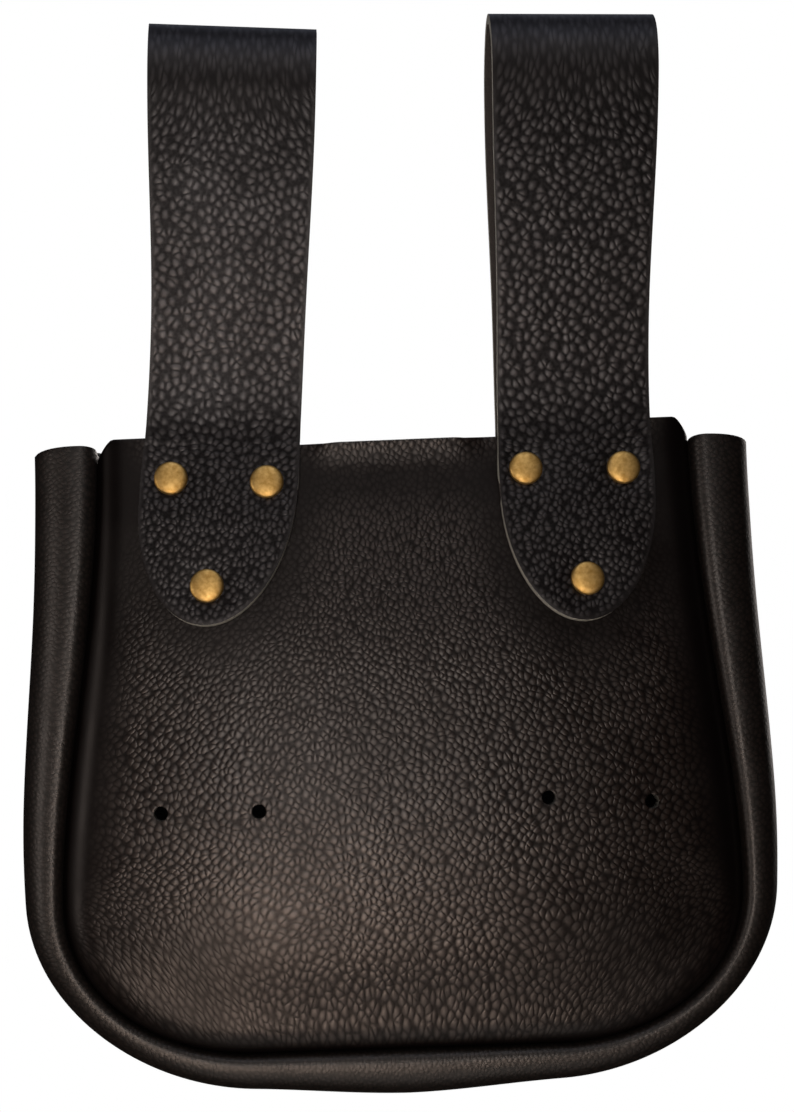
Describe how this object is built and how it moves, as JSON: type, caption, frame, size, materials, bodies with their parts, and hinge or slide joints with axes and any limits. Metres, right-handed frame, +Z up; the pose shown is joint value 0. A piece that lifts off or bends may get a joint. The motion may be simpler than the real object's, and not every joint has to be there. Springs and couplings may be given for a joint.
{
  "type": "leather belt pouch",
  "caption": "Open-topped pouch of black pebbled leather with a turned gusset, hung from a belt by folded straps riveted through its back panel.",
  "frame": {"origin": "midway between the two belt loops, where the top edge of a belt bears under their folds", "axes": "+Z up along the height; +X to the right of someone who faces the loops; +Y from the loop side towards the front of the pouch"},
  "size_m": [0.1908, 0.0642, 0.2674],
  "materials": {
    "pebbled_leather": "black milled leather with a coarse pebble grain and a warm sheen",
    "gusset_leather": "black milled leather with a finer, stretched grain",
    "strap_leather": "black milled leather with a coarse grain and grey cut edges",
    "aged_brass": "domed brass, darkened with age"
  },
  "bodies": {
    "root": {"back_panel": "pebbled_leather", "front_panel": "pebbled_leather", "gusset": "gusset_leather", "belt_loop_left": "strap_leather", "belt_loop_right": "strap_leather", "rivet_left_outer": "aged_brass", "rivet_left_inner": "aged_brass", "rivet_left_lower": "aged_brass", "rivet_right_inner": "aged_brass", "rivet_right_outer": "aged_brass", "rivet_right_lower": "aged_brass"}
  },
  "joints": []
}
